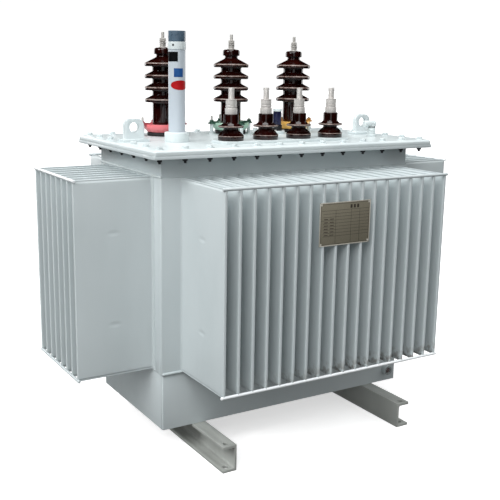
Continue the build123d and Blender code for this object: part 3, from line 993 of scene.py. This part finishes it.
pipe_low, pipe_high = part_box("gauge_pipe")
collar_low, collar_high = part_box("gauge_collar")
cap_low, cap_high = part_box("gauge_cap")
gauge = middle_at(pipe_low, pipe_high, 0)
tube = (pipe_high.x - pipe_low.x) / 2
collar = (collar_high.x - collar_low.x) / 2
cap = (cap_high.x - cap_low.x) / 2
mesh = bmesh.new()
lathe(mesh, [(0, pipe_low.z), (tube, pipe_low.z), (tube, pipe_high.z), (0, pipe_high.z)], gauge)
piece("gauge_tube", mesh, pipe_paint, node="gauge_pipe")
mesh = bmesh.new()
wide, rise = collar / MM, (collar_high.z - collar_low.z) / MM
line = [(0, 0, 0), (wide, 0, 0.8), (wide, rise, 0.8), (0, rise, 0)]
turned(mesh, line, gauge + upward(collar_low.z))
piece("gauge_ring", mesh, lid_paint, node="gauge_collar")
mesh = bmesh.new()
wide, rise = cap / MM, (cap_high.z - cap_low.z) / MM
line = [(0, 0, 0), (wide - 1, 0, 0.5), (wide - 1, 2, 0.2), (wide, 2.5, 0.5)]
line += [(wide, rise - 1, 1.5), (0, rise, 0)]
turned(mesh, line, gauge + upward(cap_low.z))
piece("gauge_sight_cap", mesh, gauge_tint, node="gauge_cap")


# Plain colour patches on the tube, and the screw in its collar

PATCH_PROUD = 0.4 * MM
PATCH_MIDDLE = math.atan2(-0.894, -0.448)
PATCH_STEPS = 48
# Rings of a patch: size, and whether it lies on the tube or goes into it
PATCH_RINGS = ((0.0, 1), (0.25, 1), (0.5, 1), (0.75, 1), (1.0, 1), (1.0, -1))
SCREW_TURN = PATCH_MIDDLE + math.radians(-24)
SCREW_HEIGHT = 1.1956
SCREW_SINK = 0.5 * MM


def patch(name, material, left, right, low_z, high_z, oval=False):
    """A thin patch bent round the tube, between two angles in degrees."""
    rings = []
    middle = PATCH_MIDDLE + math.radians((left + right) / 2)
    half_turn = math.radians((right - left) / 2)
    half_rise = (high_z - low_z) / 2
    for size, proud in PATCH_RINGS:
        ring = []
        for s in range(PATCH_STEPS):
            t = 2 * math.pi * s / PATCH_STEPS
            u, v = math.cos(t), math.sin(t)
            if not oval:
                reach = max(abs(u), abs(v))
                u, v = u / reach, v / reach
            angle = middle + half_turn * u * size
            radius = tube + proud * PATCH_PROUD
            rise = (high_z + low_z) / 2 + half_rise * v * size
            spot = Vector((radius * math.cos(angle), radius * math.sin(angle), rise))
            ring.append(gauge + spot)
        rings.append(ring[:1] if size == 0 else ring)
    mesh = bmesh.new()
    rings = [[mesh.verts.new(point) for point in ring] for ring in rings]
    for inner, outer in zip(rings, rings[1:]):
        for s in range(PATCH_STEPS):
            n = (s + 1) % PATCH_STEPS
            if len(inner) == 1:
                mesh.faces.new((inner[0], outer[s], outer[n]))
            else:
                mesh.faces.new((inner[s], outer[s], outer[n], inner[n]))
    piece(name, mesh, material)


patch("tube_patch_black", label_black, -80, 7, 1.1485, 1.1762)
patch("tube_patch_blue", label_blue, -20, 44, 1.1041, 1.1292)
patch("tube_patch_red", label_red, -44, 98, 1.0666, 1.0946, True)
mesh = bmesh.new()
disc(mesh, (0, 0, 0), 3 * MM, 1.5 * MM, 0.4, 16)
out = round_the_axis(SCREW_TURN)
spot = gauge + out * (collar - SCREW_SINK) + upward(SCREW_HEIGHT)
mesh.transform(Matrix.Translation(spot) @ out.to_track_quat("Z", "Y").to_matrix().to_4x4())
piece("gauge_screw", mesh, dark_steel)


# Tap changer

TAP_TURNS = 40
TAP_KNOB = [(0, 20, 0), (14.5, 20, 0.5), (14.5, 60, 0.5), (13.8, 61, 0.4), (13.8, 66, 0.5)]
TAP_KNOB += [(0, 66, 0)]
TAP_SKIRT = [(0, 0, 0), (17, 0, 1), (17, 8, 0.6), (15.8, 9, 0.4), (15.8, 11, 0.4), (17, 12, 0.6)]
TAP_SKIRT += [(17, 19, 1.5), (0, 20, 0)]
TAP_RIM = [(0, 65.5, 0), (16, 65.5, 0.8), (16, 73, 1.0), (14, 74, 0.4), (13, 73, 0.4)]
TAP_RIM += [(0, 72.6, 0)]
TAP_BOLT_CIRCLE = 21.8 * MM
TAP_BOLT = 4.2 * MM
TAP_BOLT_HEIGHT = 3.5 * MM

tap_low, tap_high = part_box("tap_changer_cap")
tap = middle_at(tap_low, tap_high, tap_low.z)
mesh = bmesh.new()
turned(mesh, TAP_KNOB, tap, TAP_TURNS)
piece("tap_knob", mesh, navy_plastic, node="tap_changer_cap")
mesh = bmesh.new()
turned(mesh, TAP_SKIRT, tap, TAP_TURNS)
piece("tap_skirt", mesh, black_plastic)
mesh = bmesh.new()
turned(mesh, TAP_RIM, tap, TAP_TURNS)
piece("tap_knob_rim", mesh, lid_paint)
mesh = bmesh.new()
for quarter in range(4):
    a = math.pi / 4 + math.pi / 2 * quarter
    hexagon(mesh, tap + round_the_axis(a) * TAP_BOLT_CIRCLE, TAP_BOLT, TAP_BOLT_HEIGHT, a)
piece("tap_flange_bolts", mesh, bright_steel)


# Filler valve

FILLER_TURNS = 36
FILLER_STEM_INSET = 32 * MM
FILLER_HEAD_RISE = 42 * MM
FILLER_GASKET_RISE = 30 * MM
FILLER_STEM = [(0, 0, 0), (15.5, 0, 0.8), (15.5, 7, 1), (12.4, 8, 0.5), (12.4, 11, 0.5)]
FILLER_STEM += [(13.8, 11.6, 0.6), (13.8, 15, 0.6), (12.2, 15.6, 0.4), (12.2, 18, 0.4)]
FILLER_STEM += [(14.0, 18.6, 0.6), (14.0, 24, 0.6), (12.8, 25, 0.5), (12.8, 30, 0.6)]
FILLER_STEM += [(11, 32.4, 0.3), (11, 40, 0.3), (0, 40, 0)]
FILLER_HEAD = [(0, -32, 0), (9.6, -32, 0.8), (10.5, -30.5, 0.6), (10.5, 1.6, 0.4)]
FILLER_HEAD += [(9.6, 2.2, 0.3), (9.6, 4.0, 0.3), (10.5, 4.4, 0.4), (10.5, 12, 0.8), (0, 13, 0)]

filler_low, filler_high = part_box("filler_valve")
stem_y = (filler_low.y + filler_high.y) / 2
stem = Vector((filler_low.x + FILLER_STEM_INSET, stem_y, filler_low.z))
mesh = bmesh.new()
turned(mesh, FILLER_STEM, stem, FILLER_TURNS, 3)
head = bmesh.new()
turned(head, FILLER_HEAD, (0, 0, 0), FILLER_TURNS, 3)
lay_down = Matrix.Rotation(math.pi / 2, 4, "Y")
head.transform(Matrix.Translation(stem + upward(FILLER_HEAD_RISE)) @ lay_down)
merge(mesh, head)
piece("filler_body", mesh, lid_paint, node="filler_valve")
mesh = bmesh.new()
disc(mesh, stem + upward(FILLER_GASKET_RISE), 13.6 * MM, 2.4 * MM, 0.5, FILLER_TURNS)
piece("filler_gasket", mesh, rubber)


# Drain valve

# The black ring on the stub's mouth face is painted shade for the shaded mouth; the plug has the
# drain's own worn colour
DRAIN_SHADE_RING = [(9.4, -2, 0), (15, -1.2, 0.4), (15, 0, 0.4), (12, 0, 0.4), (9.4, -0.6, 0.2)]
DRAIN_PLUG = [(0, -9, 0), (9.7, -9, 0), (9.7, -4, 0.6), (6, -4, 0.3), (6, -2, 0.6), (0, -2, 0)]

drain_low, drain_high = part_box("drain_valve")
mouth = Vector(((drain_low.x + drain_high.x) / 2, drain_low.y, (drain_low.z + drain_high.z) / 2))
face_front = Matrix.Translation(mouth) @ Matrix.Rotation(math.pi / 2, 4, "X")
mesh = bmesh.new()
turned(mesh, DRAIN_SHADE_RING, (0, 0, 0), 40, 2, True)
mesh.transform(face_front)
piece("drain_shade_ring", mesh, rubber)
mesh = bmesh.new()
turned(mesh, DRAIN_PLUG, (0, 0, 0), 6, 2)
mesh.transform(face_front)
piece("drain_plug", mesh, plug_rust)


# Rating plate with a plain grid of lines

PLATE_FACE_INSET = 0.7 * MM
PLATE_BEVEL = 0.5 * MM
PLATE_MARGIN = 5 * MM
RIM_WIDTH = 2.4 * MM
RIM_PROUD = 0.3 * MM
RIVET_INSET = 6 * MM
RIVET_RADIUS = 3 * MM
RIVET_HEIGHT = 0.9 * MM
LINE_WIDTH = 0.8 * MM
LINE_PROUD = 0.25 * MM
LINE_SINK = 0.2 * MM
LINE_BEVEL = 0.1 * MM
STROKE_HEIGHT = 2.2 * MM
# Parts of the grid's height, from the top, at which its rows end. Some rows
# run over the full width, and the rest start a little inside
FULL_ROWS = (0.0, 0.16, 0.40, 1.0)
INSET_ROWS = (0.24, 0.32, 0.48, 0.56, 0.64, 0.72, 0.80)
ROW_INSET = 0.04
# Part of the width at which each column lies, and where it ends at the top
COLUMNS = ((0.0, 0.0), (0.30, 0.16), (0.62, 0.16), (0.80, 0.16), (1.0, 0.0))

plate_low, plate_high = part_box("rating_plate")
PLATE_FACE = plate_low.y + PLATE_FACE_INSET


def on_plate(mesh, left, right, low, high, proud):
    """A thin raised bar on the plate's face."""
    start = (left, PLATE_FACE - proud, low)
    block(mesh, start, (right, PLATE_FACE + LINE_SINK, high), LINE_BEVEL)


mesh = bmesh.new()
low = (plate_low.x, PLATE_FACE, plate_low.z)
block(mesh, low, (plate_high.x, plate_high.y, plate_high.z), PLATE_BEVEL)
piece("plate_sheet", mesh, plate_metal, node="rating_plate")
mesh = bmesh.new()
for x in (plate_low.x, plate_high.x - RIM_WIDTH):
    on_plate(mesh, x, x + RIM_WIDTH, plate_low.z, plate_high.z, RIM_PROUD)
for z in (plate_low.z, plate_high.z - RIM_WIDTH):
    on_plate(mesh, plate_low.x, plate_high.x, z, z + RIM_WIDTH, RIM_PROUD)
for x in (plate_low.x + RIVET_INSET, plate_high.x - RIVET_INSET):
    for z in (plate_low.z + RIVET_INSET, plate_high.z - RIVET_INSET):
        rivet = bmesh.new()
        disc(rivet, (0, 0, 0), RIVET_RADIUS, RIVET_HEIGHT, 0.4, 16)
        at = Matrix.Translation((x, PLATE_FACE + RIM_PROUD, z))
        rivet.transform(at @ Matrix.Rotation(math.pi / 2, 4, "X"))
        merge(mesh, rivet)
piece("plate_rim", mesh, plate_edge)
mesh = bmesh.new()
left, right = plate_low.x + PLATE_MARGIN, plate_high.x - PLATE_MARGIN
low, high = plate_low.z + PLATE_MARGIN, plate_high.z - PLATE_MARGIN
width, height = right - left, high - low
half_line = LINE_WIDTH / 2
for part in sorted(FULL_ROWS + INSET_ROWS):
    z = high - height * part
    start = left if part in FULL_ROWS else left + width * ROW_INSET
    on_plate(mesh, start, right, z - half_line, z + half_line, LINE_PROUD)
for part, top in COLUMNS:
    x = left + width * part
    on_plate(mesh, x - half_line, x + half_line, low, high - height * top, LINE_PROUD)
for row in range(6):
    z = low + height * (0.22 + 0.08 * row)
    for column in range(2):
        x = left + width * (0.06 + 0.12 * column)
        on_plate(mesh, x, x + width * 0.08, z, z + STROKE_HEIGHT, LINE_PROUD)
for column in range(3):
    x = left + width * (0.60 + 0.07 * column)
    foot = high - height * 0.13
    on_plate(mesh, x, x + width * 0.04, foot, high - height * 0.04, LINE_PROUD)
piece("plate_lines", mesh, plate_ink)


# Floor, and a white backdrop that only the camera sees, so that it lights nothing

FLOOR_REACH = 40.0
FLOOR_DROP = 0.5 * MM
FLOOR_GREY = (0.9, 0.9, 0.9, 1)
FLOOR_GLOW = 0.55
BACKDROP_REACH = 38.0
BACKDROP_GLOW = 1.02
WHITE = (1, 1, 1, 1)
BLACK = (0, 0, 0, 1)


def glowing(name, base, strength, rough):
    """A plain surface that also glows white."""
    material, tree, surface = shader(name, Roughness=rough)
    surface.inputs["Base Color"].default_value = base
    surface.inputs["Emission Color"].default_value = WHITE
    surface.inputs["Emission Strength"].default_value = strength
    return material


mesh = bmesh.new()
bmesh.ops.create_circle(mesh, cap_ends=True, segments=64, radius=FLOOR_REACH)
floor = new_object("floor", mesh, glowing("pale_floor", FLOOR_GREY, FLOOR_GLOW, 0.9))
floor.location.z = -FLOOR_DROP
floor.visible_diffuse = False
floor.visible_glossy = False
mesh = bmesh.new()
bmesh.ops.create_icosphere(mesh, subdivisions=4, radius=BACKDROP_REACH)
backdrop = new_object("backdrop", mesh, glowing("white_backdrop", BLACK, BACKDROP_GLOW, 1.0))
backdrop.visible_diffuse = False
backdrop.visible_glossy = False
backdrop.visible_transmission = False
backdrop.visible_shadow = False


# Sky

SKY_STRENGTH = 2.0
# Brightness of the sky by its height above the horizon, from -1 to 1
SKY_LEVELS = (
    (-1.0, 0.06),
    (-0.25, 0.10),
    (-0.03, 0.18),
    (0.03, 0.38),
    (0.12, 0.44),
    (0.45, 0.68),
    (0.80, 1.10),
    (1.0, 1.40),
)
# The sky is brighter on this side, by this part of its mean
SKY_SIDE = (-0.80, -0.60, 0.0)
SKY_SWING = 0.30

world = bpy.data.worlds.new("studio")
world.use_nodes = True
sky = world.node_tree
background = sky.nodes["Background"]
where = sky.nodes.new("ShaderNodeTexCoord")
split = sky.nodes.new("ShaderNodeSeparateXYZ")
sky.links.new(where.outputs["Generated"], split.inputs["Vector"])
rise = add_range(sky, split.outputs["Z"], 0, 1, -1, 1)
stops = []
for height, level in SKY_LEVELS:
    grey = level / SKY_STRENGTH
    stops.append(((height + 1) / 2, (grey, grey, grey, 1)))
sky.links.new(add_ramp(sky, rise, stops), background.inputs["Color"])
across = sky.nodes.new("ShaderNodeVectorMath")
across.operation = "DOT_PRODUCT"
across.inputs[1].default_value = SKY_SIDE
sky.links.new(where.outputs["Generated"], across.inputs[0])
weak = SKY_STRENGTH * (1 - SKY_SWING)
strong = SKY_STRENGTH * (1 + SKY_SWING)
swing = add_range(sky, across.outputs["Value"], weak, strong, -1, 1)
sky.links.new(swing, background.inputs["Strength"])
bpy.context.scene.world = world
# Gloss shows the lights alone
world.cycles_visibility.glossy = False


# Lights and camera

LIGHTS_AIM = Vector((0, 0, 0.6))
CAMERA_PLACE = (-1.4585, -2.3418, 1.1422)
CAMERA_YAW = -0.552
CAMERA_PITCH = -0.215
CAMERA_ROLL = 0.017
CAMERA_LENS = 61.0
CAMERA_SENSOR = 36.0


def soft_light(name, place, size, power):
    """A large area light that faces the middle of the object."""
    light = bpy.data.lights.new(name, "AREA")
    light.size = size
    light.energy = power
    lamp = bpy.data.objects.new(name, light)
    bpy.context.collection.objects.link(lamp)
    lamp.location = place
    aim = LIGHTS_AIM - Vector(place)
    lamp.rotation_euler = aim.to_track_quat("-Z", "Y").to_euler()


soft_light("key", (-8.2, -1.0, 6.0), 4.0, 455)
soft_light("fill", (-4.4, -5.8, 7.2), 5.0, 320)
soft_light("top", (0.0, 0.0, 5.0), 2.2, 70)
soft_light("low", (-4.5, -8.5, 1.2), 4.0, 35)
soft_light("rear right", (8.6, 2.2, 1.8), 4.0, 120)
soft_light("rear left", (-1.6, 9.2, 1.8), 4.0, 120)

camera_data = bpy.data.cameras.new("camera")
camera_data.sensor_width = CAMERA_SENSOR
camera_data.lens = CAMERA_LENS
camera = bpy.data.objects.new("camera", camera_data)
bpy.context.collection.objects.link(camera)
camera.matrix_world = (
    Matrix.Translation(CAMERA_PLACE)
    @ Matrix.Rotation(CAMERA_YAW, 4, "Z")
    @ Matrix.Rotation(math.pi / 2 + CAMERA_PITCH, 4, "X")
    @ Matrix.Rotation(CAMERA_ROLL, 4, "Z")
)
bpy.context.scene.camera = camera
bpy.context.scene.view_settings.view_transform = "Standard"
